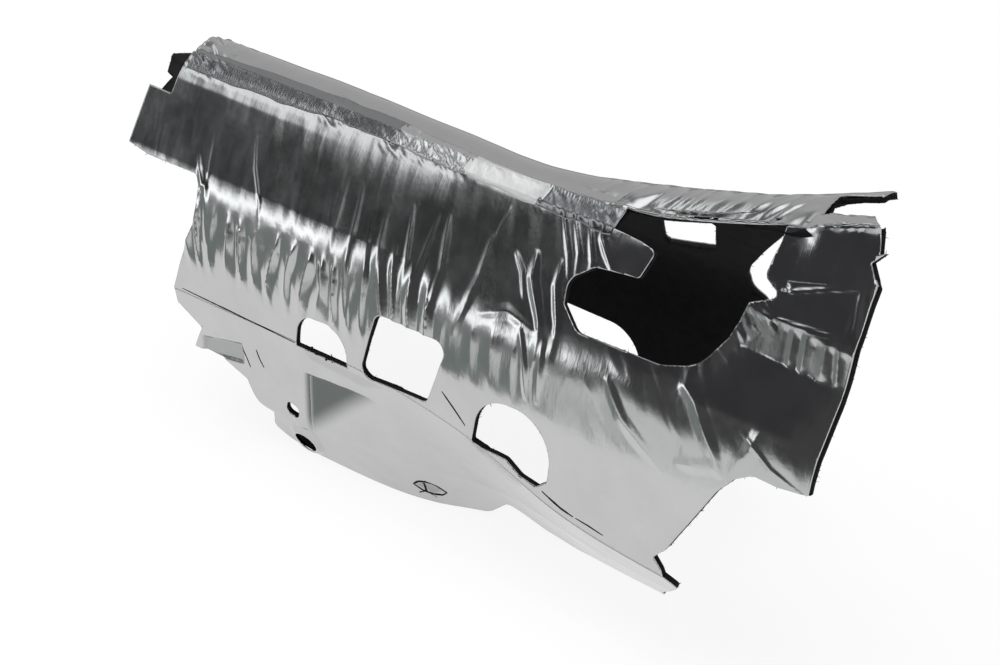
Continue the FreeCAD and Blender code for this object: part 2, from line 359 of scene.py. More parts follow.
def edge_run(x):
    """The same for the roof's front edge."""
    return np.interp(x, shell.smooth[:, 0, 0], shell.run[:, row_of("roof_edge")])


def spot(x, z):
    """A place on the front wall or the flange as length and run, from its length and height."""
    column = int(round((x / LENGTH + 0.5) * COLUMNS))
    heights = shell.smooth[column, :RIDGE_ROW + 1, 2]
    return x, float(np.interp(z, heights, shell.run[column, :RIDGE_ROW + 1]))


def spots(path):
    """The same for each place of a path."""
    return [spot(x, z) for x, z in path]


# Sharp folds of the front wall: height, width, then places as (length, height), in millimetres
CREASES = (
    (0.4, 2.2, (-217, 277), (-203, 250), (-186, 229), (-180, 205)),
    (0.3, 2.0, (-258, 262), (-250, 235), (-249, 212)),
    (0.8, 5.0, (-262, 236), (-249, 222), (-243, 196), (-238, 178)),
    (0.9, 4.0, (-268, 244), (-255, 224), (-262, 200), (-270, 182)),
    (0.35, 4.0, (-107, 269), (-103, 235), (-100, 205)),
    (0.45, 4.0, (-91, 270), (-84, 237), (-84, 200)),
    (0.45, 4.0, (-59, 257), (-54, 231), (-50, 200)),
    (0.7, 4.0, (-37, 269), (-26, 232), (-22, 190)),
    (0.6, 4.5, (-11, 269), (-13, 233), (-15, 196)),
    (0.8, 5.0, (-2, 272), (8, 236), (6, 196)),
    (0.5, 2.5, (48, 291), (46, 273), (45, 262)),
    (1.0, 5.5, (42, 271), (43, 242), (34, 198)),
    (1.0, 3.0, (65, 267), (78, 256), (87, 240)),
    (1.8, 7.0, (84, 272), (88, 255), (106, 232), (108, 226)),
    (0.6, 6.0, (104, 236), (110, 222), (112, 200)),
    (1.4, 5.5, (107, 273), (110, 256), (122, 234), (124, 226)),
    (0.5, 5.0, (122, 236), (124, 222), (123, 200)),
    (0.9, 4.0, (93, 303), (111, 276), (118, 262)),
    (0.8, 3.5, (103, 303), (119, 280), (124, 262)),
    (0.8, 4.0, (118, 301), (132, 278), (136, 262)),
    (1.1, 5.0, (130, 305), (133, 294), (154, 275)),
    (0.6, 6.0, (52, 220), (77, 230), (106, 224)),
    (1.0, 5.0, (92, 224), (104, 200), (110, 176)),
    (1.0, 5.0, (115, 225), (118, 200), (120, 176)),
    (1.3, 8.0, (236, 248), (237, 232), (248, 225), (268, 204), (284, 186)),
    (0.8, 7.0, (243, 181), (274, 190), (286, 187)),
    (0.8, 8.0, (305, 231), (299, 211), (286, 187)),
    (0.9, 7.0, (174, 217), (194, 195), (223, 178), (236, 168)),
    (0.9, 3.0, (276, 303), (300, 312), (317, 319), (350, 332)),
    (0.9, 3.0, (264, 288), (300, 291), (327, 294), (350, 293)),
    (0.5, 3.0, (288, 222), (318, 206), (349, 199)),
)

# Outlines of the flange's pressed pocket and ledge, which also get painted shade, and of the eye
# round the stud and the band under the crease, which are painted shade only; then the middles of
# the boss round the bolt, the dome beside it and the dimple under the stud, all given as (length,
# height)
POCKET = spots([(-131, 101), (-48, 106), (-144, 28)])
LEDGE = spots([(-258, 87), (-203, 101), (-205, 77), (-262, 66)])
EYE = spots([(-40, 18), (-28, 25), (-10, 18.5), (-25, 11)])
BAND = spots([(-128, 127), (-30, 127), (-60, 114), (-118, 117)])
BOLT, DOME, STUD = spots([(-153, 16.5), (-149, 40), (-24, 19)])


def lean_back(x, z, above):
    """The broad shape of the foil over the moulded wall: how far it leans back or steps out."""
    left = 1 - ramp(x, -120, 40)
    lift = left * np.interp(z, (200, 234, 270, 300), (0, 2.1, 1.1, 0))
    # the roll along the ridge, and the flatter strip under it that catches the light
    near = np.interp(above, (-30, -15, -8, 0, 12, 45), (0, -0.3, -1.2, -2.7, -3.1, 0))
    wide = np.interp(above, (0, 12, 45), (0, -0.4, 2.35))
    wide -= 2.35 * np.clip((above + 34) / 34, 0, 1) ** 2.4
    share = ramp(x, -260, -90)
    wide *= 1 - 0.75 * ramp(x, -28, 14) * (1 - ramp(above, -6, 10))
    lift += (near * (1 - share) + wide * share) * (1 - ramp(x, 90, 150))
    # the right end: a dark field, a bright step over it and the raised box
    steps = np.interp(z, (160, 190, 226, 230, 266, 268, 286, 290, 304),
                      (0, 0, 0.6, 0.2, -5.0, -4.8, -1.6, -0.6, -1.6))
    lift += ramp(x, 244, 264) * steps * (1 - ramp(above, 5, 50))
    box = np.interp(above, (-8, 0, 28, 40, 60), (0, 0.3, 3.9, 4.6, 0))
    return lift - ramp(x, 262, 285) * box


def wall_relief(x, s, z):
    """Folds of the front wall, and faint ones on the flange."""
    # upright pleats of the barrel, deepest low on it and faint over its dark top
    barrel = window(x, -420, -70, 30)
    deep = ramp(z, 146, 176) * (1 - ramp(z, 200, 217))
    lift = barrel * (2.9 * deep + 0.14 * ramp(z, 200, 220)) * pleats(x, s, 17.5, 0.06, 3)
    lift += barrel * (0.16 * deep + 0.04 * ramp(z, 190, 220)) * facets(x, s, 6, 46, 0.1, 8)
    lift += barrel * ramp(z, 205, 222) * 0.25 * facets(x, s, 14, 70, 0.1, 6)
    # bigger folds in the middle, which reach up into the dark
    middle = window(x, -80, 26, 26) * ramp(z, 150, 186) * (1 - 0.92 * ramp(z, 212, 242))
    lift += middle * (2.1 * pleats(x, s, 17, 0.14, 14) + 0.25 * facets(x, s, 8, 60, 0.14, 21))
    beside = window(x, 26, 160, 20) * ramp(z, 158, 186)
    lift += beside * (0.3 * facets(x, s, 22, 60, 0.1, 24)
                      + (0.5 - 0.38 * ramp(z, 204, 216)) * pleats(x, s, 24, 0.0, 26))
    # a few broad folds under the large opening, and crumples beside it
    under = window(x, 158, 258, 14) * ramp(z, 150, 190)
    lift += under * (0.8 * facets(x, s, 34, 70, 0.4, 5) + 0.25 * facets(x, s, 12, 22, 0.4, 9))
    rim = np.maximum(window(x, 232, 268, 6) * window(z, 256, 286, 8),
                     window(x, 262, 288, 5) * window(z, 280, 345, 8))
    lift += rim * (0.7 * facets(x, s, 7, 9, 0.5, 18) + 0.3 * facets(x, s, 3.5, 5, 0.2, 19))
    # the dark field of the right end, and the crumples at its last edge
    field = ramp(x, 262, 280) * ramp(z, 150, 185)
    lift += field * (0.5 * facets(x, s, 40, 44, -0.3, 12) + 0.12 * facets(x, s, 13, 30, 0.1, 13))
    last = window(x, 339, 420, 3) * ramp(z, 296, 306)
    lift += last * 0.8 * facets(x, s, 5, 34, 0.0, 16)
    low = 1 - ramp(z, 150, 190)
    return lift + low * (0.3 * facets(x, s, 60, 44, 0.3, 31) + 0.08 * facets(x, s, 17, 15, 0.2, 33))


def seam_relief(x, s, above):
    """Crumples at four places along the seam."""
    places = (window(x, -340, -282, 12) + window(x, -160, -132, 6) + window(x, -92, -2, 8)
              + 0.4 * window(x, 68, 140, 6))
    seam = window(above, -6, 26, 6) * (0.08 + np.clip(places, 0, 1)) * (1 - ramp(x, 135, 160))
    return seam * (0.35 * facets(x, s, 5, 4.5, 0.2, 41) + 0.55 * facets(x, s, 19, 9, 0.3, 43))


def roof_relief(x, s, past):
    """The roof's forms, from how far past its front edge a place is."""
    # it sinks beside the large opening
    lift = -ramp(x, 128, 165) * (1 - ramp(x, 276, 300)) * 4.5 * np.exp(-(past / 16) ** 2)
    # long folds that run up to the right
    folds = ramp(past, -16, -6) * (1 - 0.7 * ramp(past, 22, 60)) * window(x, 112, 278, 22)
    slant = x - 0.8 * past
    lift += folds * (0.8 * pleats(slant, s, 14, 0.0, 51) + 0.45 * facets(slant, s, 7, 60, 0.0, 52))
    # crumples at its left end and on the raised box
    left_end = window(past, -5, 52, 8) * (1 - ramp(x, -312, -262))
    lift += left_end * (1.5 * facets(x, s, 11, 10, 0.2, 56) + 0.6 * facets(x, s, 4, 4, 0.2, 57))
    box = window(x, 284, 420, 6) * window(past, -8, 42, 4)
    lift += box * (0.8 * facets(x, s, 7, 6, 0.2, 44) + 0.7 * facets(x, s, 16, 9, 0.1, 45))
    roof = ramp(past, -14, -3)
    return lift + roof * (0.35 * facets(x, s, 40, 30, 0.2, 53)
                          + 0.1 * facets(x, s, 14, 12, 0.1, 54))


def round_form(x, s, middle, height, flat, foot, wide=1):
    """A round boss, or a dimple: its height over a flat middle, falling to nothing at its foot."""
    return height * (1 - ramp(np.hypot((x - middle[0]) / wide, s - middle[1]), flat, foot))


def relief(x, s, z):
    """How far the foil stands proud of the moulded surface, or lies below it, in millimetres."""
    above = s - ridge_run(x)
    past = s - edge_run(x)
    front = 1 - ramp(above, -4, 2)
    lift = lean_back(x, z, above) + front * wall_relief(x, s, z)
    lift += seam_relief(x, s, above) + roof_relief(x, s, past)
    # a row of pleats over the right end's dark field, and as high on the back
    lift += window(z, 268, 288, 3) * window(x, 300, 346, 8) * pleats(x, s, 12, 0.1, 15)
    for height, width, *path in CREASES:
        lift += crease(x, s, spots(path), height, width)
    lift += round_form(x, s, BOLT, 3, 12.5, 19)
    lift += round_form(x, s, DOME, 2.6, 1, 9)
    lift -= round_form(x, s, STUD, 1.6, 3, 9, wide=1.5)
    return lift - 3.2 * pocket_shade(x, s) - dent(x, s, LEDGE, 0.6, 2.4)


def pocket_shade(x, s):
    """The three-sided pocket of the flange: 1 under its upper edge, fading out to its long side."""
    left, right, foot = POCKET
    top = edge_gap(x, s, left, right, foot)
    side = edge_gap(x, s, left, foot, right)
    fade = edge_gap(x, s, right, foot, left)
    streaks = 1 - 0.6 * (1 - ramp(side, 6, 11)) * (0.5 + 0.5 * np.sin(side * 1.3))
    return ramp(top, 0, 1.6) * ramp(side, 0, 2.5) * ramp(fade, -3, 17) * streaks


def painted_shade(x, s):
    """Where shade is painted on the foil, from 0 to 1: in the pocket, on the ledge, round the
    stud's eye and on the band under the crease.
    """
    ledge = 0.4 * dent(x, s, LEDGE, 0.5, 1)
    eye = 0.5 * dent(x, s, EYE, 0.5, 0.8)
    band = 0.25 * dent(x, s, BAND, 0.16, 0.6)
    return np.clip(np.maximum.reduce((pocket_shade(x, s), ledge, band, eye)), 0, 1)


# Lifts of the sheets, hem and thicknesses, in millimetres
FOIL_LIFT = 0.4
TUCK_UNDER = 0.5
FELT_UNDER = 0.35
TAPE_LIFT = 0.8
PATCH_LIFT = 0.7
SLIT_LIFT = 0.3
HEM = 0.9
TAPE_THICK = 0.3
SLIT_THICK = 0.25


def foil_lift(shares):
    """How far the foil lies out from the moulded surface."""
    places = shell.at(shell.smooth, shares)
    return FOIL_LIFT + relief(places[:, 0], shell.at(shell.run, shares), places[:, 2])


def side_lift(shares):
    """The side panel's lift, with its top tucked in under the roof panel."""
    tucked = shares[:, 1] > (row_of("roof_edge") + 0.5) / shell.rows
    return foil_lift(shares) - TUCK_UNDER * tucked


def deepest_foil():
    """The foil's relief at each point of the lattice, or the deepest within three points of it."""
    x, z = shell.smooth[:, :, 0].ravel(), shell.smooth[:, :, 2].ravel()
    field = relief(x, shell.run.ravel(), z).reshape(shell.run.shape)
    deepest = field.copy()
    for i in range(-3, 4):
        for j in range(-3, 4):
            deepest = np.minimum(deepest, np.roll(field, (i, j), axis=(0, 1)))
    return deepest


def felt_lift(shares):
    """How far the felt's outside lies out: just under the foil, and lower at the roof's edge."""
    past = shell.at(shell.run, shares) - edge_run(shell.at(shell.smooth, shares)[:, 0])
    return shell.at(deepest, shares) - FELT_UNDER - 1.4 * np.exp(-(past / 14) ** 2)


def lay_down(piece, lift_of, hem):
    """Move a trimmed sheet to the true surface, and turn its edges in by the hem."""
    bm = bmesh.new()
    bm.from_mesh(piece.data)
    shares_map = bm.loops.layers.uv["shares"]
    share = bm.verts.layers.float_vector.new("share")
    for vertex in bm.verts:
        if vertex.link_loops:
            u, v = vertex.link_loops[0][shares_map].uv
            vertex[share] = (u, v, 0)
    if hem:
        rim = [edge for edge in bm.edges if edge.is_boundary]
        turned = bmesh.ops.extrude_edge_only(bm, edges=rim)
        for vertex in turned["geom"]:
            if isinstance(vertex, bmesh.types.BMVert):
                u, v, _ = vertex[share]
                vertex[share] = (u, v, 1)
    data = np.array([vertex[share] for vertex in bm.verts])
    shares = data[:, :2]
    # the cut edge of the right end is turned in further
    turned_in = np.where(shares[:, 0] > 0.995, 2.4, 1) * hem
    put_on_shell(bm.verts, shares, lift_of(shares) - data[:, 2] * turned_in)
    if hem:
        # a mask of where shade is painted on the foil's base colour
        mask = bm.verts.layers.float.new("painted_shade")
        run = shell.at(shell.run, shares)
        for vertex, shade in zip(bm.verts, painted_shade(shares[:, 0] * LENGTH - LENGTH / 2, run)):
            vertex[mask] = shade
    bm.verts.layers.float_vector.remove(bm.verts.layers.float_vector["share"])
    bm.loops.layers.uv.remove(bm.loops.layers.uv["shares"])
    for face in bm.faces:
        face.smooth = True
    bm.to_mesh(piece.data)
    bm.free()


def thicken(piece, thickness):
    """Give a sheet its thickness, on its inner side."""
    wall = piece.modifiers.new("thickness", "SOLIDIFY")
    wall.thickness = thickness * MM
    wall.offset = -1
    return piece


def finish_piece(piece, material, slot, *nodes):
    """Give a piece its material, and say what it rides on and replaces; what it is made of, the
    slot, is not used.
    """
    piece.data.materials.clear()
    piece.data.materials.append(material)
    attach(piece, "root")
    if nodes:
        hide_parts(*nodes)


def shares_at(x, values, field, low, high):
    """The shares of places, from their length and their value in a field of the lattice that
    grows from row low to row high."""
    along = x / LENGTH + 0.5
    columns = np.clip(np.rint(along * COLUMNS).astype(int), 0, COLUMNS)
    around = [np.interp(value, field[column, low:high], np.arange(low, high))
              for column, value in zip(columns, values)]
    return np.stack([along, np.array(around) / shell.rows], axis=1)


# The seam tape's lower and upper edge: how far back they are at places along the length
TAPE_LOW = ((-320, -210, -140, 40, 140), (-67, -67, -64.5, -67, -68))
TAPE_HIGH = ((-320, -205, -98, 20, 140), (-50, -46, -44, -51, -53))
# The rows of the lattice that the tape lies on, the length of one of its own facets, and their rows
TAPE_ROWS = (row_of("barrel") - 20, row_of("back_slope"))
TAPE_FACET = 0.65
TAPE_ACROSS = 24


def tape_piece(name, start, end, gathers, smooth):
    """One length of seam tape, laid over the ridge, gathered along its lower and upper edge."""
    bm = bmesh.new()
    points, flat = add_grid(bm, int((end - start) / TAPE_FACET), TAPE_ACROSS)
    x = start + (end - start) * flat[:, 0]
    uneven = np.array([noise.noise(Vector((place * 0.05, 3.1, 7.7))) for place in x])
    low, high = np.interp(x, *TAPE_LOW), np.interp(x, *TAPE_HIGH)
    y = low + (high - low) * flat[:, 1] + 1.2 * uneven
    shares = shares_at(x, y, shell.smooth[:, :, 1], *TAPE_ROWS)
    lower, upper = gathers
    gather = 0.7 * pleats(x, y, 2.7, 0.5, 71) * np.maximum(
        upper * ramp(flat[:, 1], 0.7, 0.95), lower * (1 - ramp(flat[:, 1], 0.05, 0.35)))
    crumple = 0.35 * facets(x, y, 6, 5, 0.4, 73) + 0.2 * facets(x, y, 2.6, 3, 0.1, 74)
    gather = gather + (1 - smooth) * crumple
    put_on_shell(points, shares, foil_lift(shares) + TAPE_LIFT + gather)
    return thicken(piece_of(bm, name, smooth=True), TAPE_THICK)


# The patch's corners, lower left, lower right, upper left and upper right, as (length, height)
PATCH = ((284.5, 331), (312.5, 333), (286.5, 346), (313.5, 356))


def patch_piece():
    """The small four-sided patch of tape on the raised box."""
    bm = bmesh.new()
    points, flat = add_grid(bm, 26, 22)
    a, b = flat[:, :1], flat[:, 1:]
    corners = np.array(PATCH)
    places = (corners[0] * (1 - a) * (1 - b) + corners[1] * a * (1 - b)
              + corners[2] * (1 - a) * b + corners[3] * a * b)
    shares = shares_at(places[:, 0], places[:, 1], shell.smooth[:, :, 2], 0, RIDGE_ROW + 1)
    put_on_shell(points, shares, foil_lift(shares) + PATCH_LIFT)
    return thicken(piece_of(bm, "box_patch", smooth=True), TAPE_THICK)


# Crumbs of felt along the lower edge of the arched opening
CRUMBS = 26


def rim_fibres(source):
    """Stray fibres and crumbs of felt that stick out along its cut rims."""
    rng = np.random.default_rng(17)
    cut = bmesh.new()
    cut.from_mesh(source.data)
    cut.normal_update()
    bm = bmesh.new()
    carry = 0.0
    for edge in [edge for edge in cut.edges if edge.is_boundary]:
        start, end = (vertex.co for vertex in edge.verts)
        face = edge.link_faces[0]
        along = (end - start).normalized()
        out = along.cross(face.normal)
        if out.dot(face.calc_center_median() - start) > 0:
            out = -out
        carry += (end - start).length / MM
        while carry > 0:
            carry -= rng.uniform(1.2, 3.2)
            root = start.lerp(end, rng.uniform()) - face.normal * rng.uniform(0.2, FELT_THICK) * MM
            aim = (out + Vector(rng.normal(0, 0.55, 3))).normalized()
            long = rng.uniform(0.4, 1.1) if rng.uniform() < 0.8 else rng.uniform(1.1, 2.4)
            thick = rng.uniform(0.12, 0.45)
            turn = aim.to_track_quat("Z", "Y").to_matrix().to_4x4()
            place = Matrix.Translation(root + aim * long * 0.5 * MM)
            bmesh.ops.create_cone(
                bm, cap_ends=True, segments=4, radius1=thick * MM, radius2=0.25 * thick * MM,
                depth=long * 1.4 * MM, matrix=place @ turn)
    cut.free()
    for _ in range(CRUMBS):
        place = Vector((rng.uniform(-131, -82), rng.uniform(-127, -125.5),
                        rng.uniform(128.5, 131.5))) * MM
        turn = Matrix.Rotation(rng.uniform(0, 6), 4, Vector(rng.normal(0, 1, 3)).normalized())
        size = rng.uniform(0.4, 1.5) * MM
        bmesh.ops.create_cone(bm, cap_ends=True, segments=5, radius1=size, radius2=0.4 * size,
                              depth=1.3 * size, matrix=Matrix.Translation(place) @ turn)
    return piece_of(bm, "rim_fibres")


# Where the scuff at the seam lies, as a run from the crease
SEAM_SCUFF = float(ridge_run(-288)) + 7
# Slits and scuffs where the felt shows through the foil: half width, then places as (length, run).
# The first, along the fold over the flange, is painted shade as well as a slit: a black strip for
# the fold's shadow.
SLITS = (
    (0.45, *spots([(-273, 128), (-240, 128.5), (-212, 129), (-175, 129), (-134, 129)])),
    (0.4, *spots([(-205, 96), (-201, 87), (-198, 78)])),
    (0.4, *spots([(-186, 101), (-184, 93), (-180, 85)])),
    (1.2, *spots([(-40, 18), (-34, 23), (-26, 25.5), (-17, 23.5), (-10, 18.5)])),
    (0.8, *spots([(-40, 18), (-33, 12.5), (-25, 11), (-16, 13), (-10, 18.5)])),
    (0.5, *spots([(28, 150), (38, 142), (52, 130)])),
    (1.3, (-302, SEAM_SCUFF - 2), (-288, SEAM_SCUFF), (-274, SEAM_SCUFF + 1)),
    (0.7, *spots([(128, 106), (146, 99), (158, 97)])),
    (0.4, *spots([(160, 97), (172, 96), (186, 94)])),
)


def on_path(path, lengths, run):
    """The places on a path at distances along it."""
    return np.stack([np.interp(run, lengths, path[:, k]) for k in (0, 1)], axis=1)


def slit_strips(name):
    """Tapered strips of felt laid just over the foil."""
    bm = bmesh.new()
    for half_width, *path in SLITS:
        path = np.array(path, float)
        lengths = np.concatenate([[0], np.cumsum(np.hypot(*np.diff(path, axis=0).T))])
        points, flat = add_grid(bm, max(6, int(lengths[-1] / 2)), 2)
        along = flat[:, 0] * lengths[-1]
        middle = on_path(path, lengths, along)
        ahead = on_path(path, lengths, along + 1) - on_path(path, lengths, along - 1)
        ahead /= np.hypot(ahead[:, 0], ahead[:, 1])[:, None]
        uneven = np.array([noise.noise(Vector((place * 0.4, half_width, path[0, 0] * 0.1)))
                           for place in along])
        taper = 0.25 + 0.75 * np.sin(np.pi * flat[:, 0]) ** 0.6
        reach = (flat[:, 1] * 2 - 1) * half_width * taper * (1 + 0.5 * uneven)
        x, s = middle[:, 0] - ahead[:, 1] * reach, middle[:, 1] + ahead[:, 0] * reach
        shares = shares_at(x, s, shell.run, 0, shell.rows + 1)
        put_on_shell(points, shares, foil_lift(shares) + SLIT_LIFT)
    return thicken(piece_of(bm, name), SLIT_THICK)


def join(tree, source, target):
    """Link a node's output to another's input."""
    tree.links.new(source, target)


def fill(tree, made, inputs):
    """Put values, or the outputs of other nodes, in a node's inputs."""
    for name, value in inputs.items():
        if isinstance(value, bpy.types.NodeSocket):
            join(tree, value, made.inputs[name])
        else:
            made.inputs[name].default_value = value


def node(tree, kind, inputs=(), **settings):
    """A new node with its settings and its inputs."""
    made = tree.nodes.new(kind)
    for name, value in settings.items():
        setattr(made, name, value)
    fill(tree, made, dict(inputs))
    return made


def object_place(tree):
    """The place on the object."""
    return node(tree, "ShaderNodeTexCoord").outputs["Object"]


def grain(tree, place, scale, detail, roughness=0.5, distortion=0.0):
    """Noise over a place."""
    return node(tree, "ShaderNodeTexNoise", {
        "Vector": place, "Scale": scale, "Detail": detail, "Roughness": roughness,
        "Distortion": distortion}).outputs["Fac"]


def calculated(tree, operation, first, second):
    """What two values give."""
    return node(tree, "ShaderNodeMath", {0: first, 1: second}, operation=operation).outputs[0]


def mixed(tree, kind, share, first, second):
    """A mix of two values, kind FLOAT, or of two colours, kind RGBA."""
    inputs = {"Factor": share, "A": first, "B": second}
    return node(tree, "ShaderNodeMix", inputs, data_type=kind).outputs["Result"]


def rescaled(tree, value, low, high, start, end, change="LINEAR"):
    """A value that goes from start to end as another goes from low to high."""
    inputs = {"Value": value, "From Min": low, "From Max": high, "To Min": start, "To Max": end}
    return node(tree, "ShaderNodeMapRange", inputs, interpolation_type=change).outputs["Result"]


def coloured(tree, value, *stops):
    """A colour for each value, from stops of (value, colour)."""
    made = node(tree, "ShaderNodeValToRGB", {"Fac": value})
    elements = made.color_ramp.elements
    while len(elements) < len(stops):
        elements.new(1.0)
    for element, (position, colour) in zip(elements, stops):
        element.position = position
        element.color = (*colour, 1)
    return made.outputs["Color"]


def bumped(tree, height, depth):
    """The surface's way out, bent by a height."""
    inputs = {"Height": height, "Strength": 1.0, "Distance": depth}
    return node(tree, "ShaderNodeBump", inputs).outputs["Normal"]


def new_material(name):
    """A new material, its node tree and the shader of its surface."""
    material = bpy.data.materials.new(name)
    material.use_nodes = True
    return material, material.node_tree, material.node_tree.nodes["Principled BSDF"]


def show(tree, shader):
    """Let a material show a shader."""
    join(tree, shader, tree.nodes["Material Output"].inputs["Surface"])


# Grey-green painted shade for the foil's pressed fields, standing in for the darker reflection of
# steeper foil
PAINTED_SHADE = (0.115, 0.13, 0.125, 1)


def fine_wrinkles():
    """Fine upright wrinkles and dimples in foil, as a height, and a soft smudge mask."""
    group = bpy.data.node_groups.new("fine_wrinkles", "ShaderNodeTree")
    for name, side in (("Scale", "INPUT"), ("Height", "OUTPUT"), ("Smudge", "OUTPUT")):
        group.interface.new_socket(name=name, in_out=side, socket_type="NodeSocketFloat")
    inlet, outlet = node(group, "NodeGroupInput"), node(group, "NodeGroupOutput")
    place = object_place(group)
    upright = node(group, "ShaderNodeMapping", {"Vector": place, "Scale": (1.0, 0.16, 0.16)})
    scale = calculated(group, "MULTIPLY", inlet.outputs["Scale"], 420.0)
    streaks = grain(group, upright.outputs["Vector"], scale, 4.0, 0.6)
    height = mixed(group, "FLOAT", 0.35, streaks, grain(group, place, 260.0, 3.0))
    fill(group, outlet, {"Height": height, "Smudge": grain(group, place, 26.0, 4.0, 0.65)})
    return group


def foil_material(name, wrinkles, base, rough, scale, depth):
    """Bright rolled foil: a mirror that is a little soft, with fine wrinkles and faint smudges,
    and painted shade, grey-green, on its pressed fields."""
    material, tree, surface = new_material(name)
    fine = node(tree, "ShaderNodeGroup", {"Scale": scale}, node_tree=wrinkles)
    smudge = fine.outputs["Smudge"]
    tone = coloured(tree, smudge, (0.35, [value * 0.94 for value in base]), (0.65, base))
    # the mask of painted shade on the pressed fields, mixed into the base colour
    pressed = node(tree, "ShaderNodeAttribute", attribute_name="painted_shade").outputs["Fac"]
    fill(tree, surface, {
        "Metallic": 1.0,
        "Base Color": mixed(tree, "RGBA", pressed, tone, PAINTED_SHADE),
        "Roughness": rescaled(tree, smudge, 0.3, 0.7, *rough),
        "Normal": bumped(tree, fine.outputs["Height"], depth),
    })
    return material


def felt_material():
    """Black needled felt: matted fibres, with a faint grey bloom on the tips."""
    material, tree, surface = new_material("black_felt")
    place = object_place(tree)
    fibres = grain(tree, place, 900.0, 5.0, 0.75, 2.0)
    matted = mixed(tree, "FLOAT", 0.35, fibres, grain(tree, place, 70.0, 3.0))
    fill(tree, surface, {
        "Roughness": 0.95,
        "Specular IOR Level": 0.15,
        "Base Color": coloured(
            tree, matted, (0.35, (0.004, 0.004, 0.0045)), (0.7, (0.02, 0.02, 0.021))),
        "Normal": bumped(tree, matted, 0.0006),
    })
    return material


def floor_material():
    """A pale matt floor that fades to white away from the object and keeps its shadow near it."""
    material, tree, surface = new_material("pale_floor")
    fill(tree, surface, {
        "Base Color": (0.88, 0.88, 0.88, 1), "Roughness": 0.9, "Specular IOR Level": 0.1})
    white = node(tree, "ShaderNodeEmission", {"Strength": 1.0})
    reach = node(tree, "ShaderNodeVectorMath", {0: object_place(tree)}, operation="LENGTH")
    fade = rescaled(tree, reach.outputs["Value"], 0.3, 0.75, 0.9, 1.0, "SMOOTHSTEP")
    rays = node(tree, "ShaderNodeLightPath").outputs
    mirror = calculated(tree, "MAXIMUM", rays["Is Glossy Ray"], rays["Is Transmission Ray"])
    share = calculated(tree, "ADD", calculated(tree, "MULTIPLY", mirror, 0.8),
                       calculated(tree, "MULTIPLY", rays["Is Camera Ray"], fade))
    mix = node(tree, "ShaderNodeMixShader", {
        "Fac": share, 1: surface.outputs["BSDF"], 2: white.outputs["Emission"]})
    show(tree, mix.outputs["Shader"])
    return material


def glow(name, colour=(1, 1, 1)):
    """A material that only glows, its node tree and its light."""
    material, tree, surface = new_material(name)
    tree.nodes.remove(surface)
    light = node(tree, "ShaderNodeEmission", {"Color": (*colour, 1), "Strength": 1.0})
    show(tree, light.outputs["Emission"])
    return material, tree, light


def surround_material():
    """Grey-green ground beyond the table, with two pale lanes towards the object's right half."""
    material, tree, light = glow("surround")
    inputs = {0: object_place(tree), 1: (1.0, -0.76, 0.0)}
    across = node(tree, "ShaderNodeVectorMath", inputs, operation="DOT_PRODUCT")
    share = rescaled(tree, across.outputs["Value"], 0.2, 0.4, 0.0, 1.0)
    grey, pale = (0.26, 0.29, 0.28), (0.92, 0.93, 0.94)
    lanes = coloured(tree, share, (0.0, grey), (0.19, grey), (0.25, pale), (0.57, pale),
                     (0.62, grey), (0.72, grey), (0.8, pale), (1.0, pale))
    fill(tree, light, {"Color": lanes})
    return material


def curtain_material():
    """Dark cloth in folds, with a soft left edge."""
    material, tree, light = glow("curtain")
    place = object_place(tree)
    folds = node(tree, "ShaderNodeTexWave", {"Vector": place, "Scale": 5.5, "Distortion": 5.0})
    fill(tree, light, {"Color": rescaled(tree, folds.outputs["Fac"], 0.4, 1.0, 0.035, 0.16)})
    along = node(tree, "ShaderNodeSeparateXYZ", {"Vector": place}).outputs["X"]
    clear = node(tree, "ShaderNodeBsdfTransparent")
    mix = node(tree, "ShaderNodeMixShader", {
        "Fac": rescaled(tree, along, -0.74, -0.69, 0.0, 1.0, "SMOOTHSTEP"),
        1: clear.outputs["BSDF"], 2: light.outputs["Emission"]})
    show(tree, mix.outputs["Shader"])
    return material


def only_reflected(card, material):
    """Give a card its material, and hide it from all but the foil's reflections."""
    card.data.materials.append(material)
    for rays in ("camera", "diffuse", "shadow", "transmission"):
        setattr(card, f"visible_{rays}", False)


# Half the size of the floor, of the surround on it and of the table that the surround leaves
# free, and how high the surround lies, in metres
FLOOR_HALF = 4.0
SURROUND_HALF = 3.9
TABLE_HALF = (2.4, 0.43)
SURROUND_HIGH = 0.0008


def studio_floor():
    """A floor that reaches past the picture."""
    bm = bmesh.new()
    bmesh.ops.create_grid(bm, x_segments=1, y_segments=1, size=FLOOR_HALF)
    floor = piece_of(bm, "floor")
    floor.data.materials.append(floor_material())


def table_surround():
    """What lies beyond the pale table, grey-green, seen only as a reflection in the foil."""
    bm = bmesh.new()
    bmesh.ops.create_grid(bm, x_segments=1, y_segments=1, size=SURROUND_HALF)
    bmesh.ops.inset_region(bm, faces=bm.faces[:], thickness=3.3, use_boundary=True)
    middle = min(bm.faces, key=lambda face: face.calc_center_median().length)
    for vertex in middle.verts:
        vertex.co.x = math.copysign(TABLE_HALF[0], vertex.co.x)
        vertex.co.y = math.copysign(TABLE_HALF[1], vertex.co.y)
    bmesh.ops.delete(bm, geom=[middle], context="FACES")
    for vertex in bm.verts:
        vertex.co.z = SURROUND_HIGH
    only_reflected(piece_of(bm, "table_surround"), surround_material())


def upright_card(name, middle, size, material):
    """A card or cloth on the camera's side of the object, seen only as a reflection in the foil."""
    bm = bmesh.new()
    points, flat = add_grid(bm, 1, 1)
    for point, (across, up) in zip(points, flat - 0.5):
        point.co = (middle[0] + size[0] * across, middle[1], middle[2] + size[1] * up)
    only_reflected(piece_of(bm, name), material)


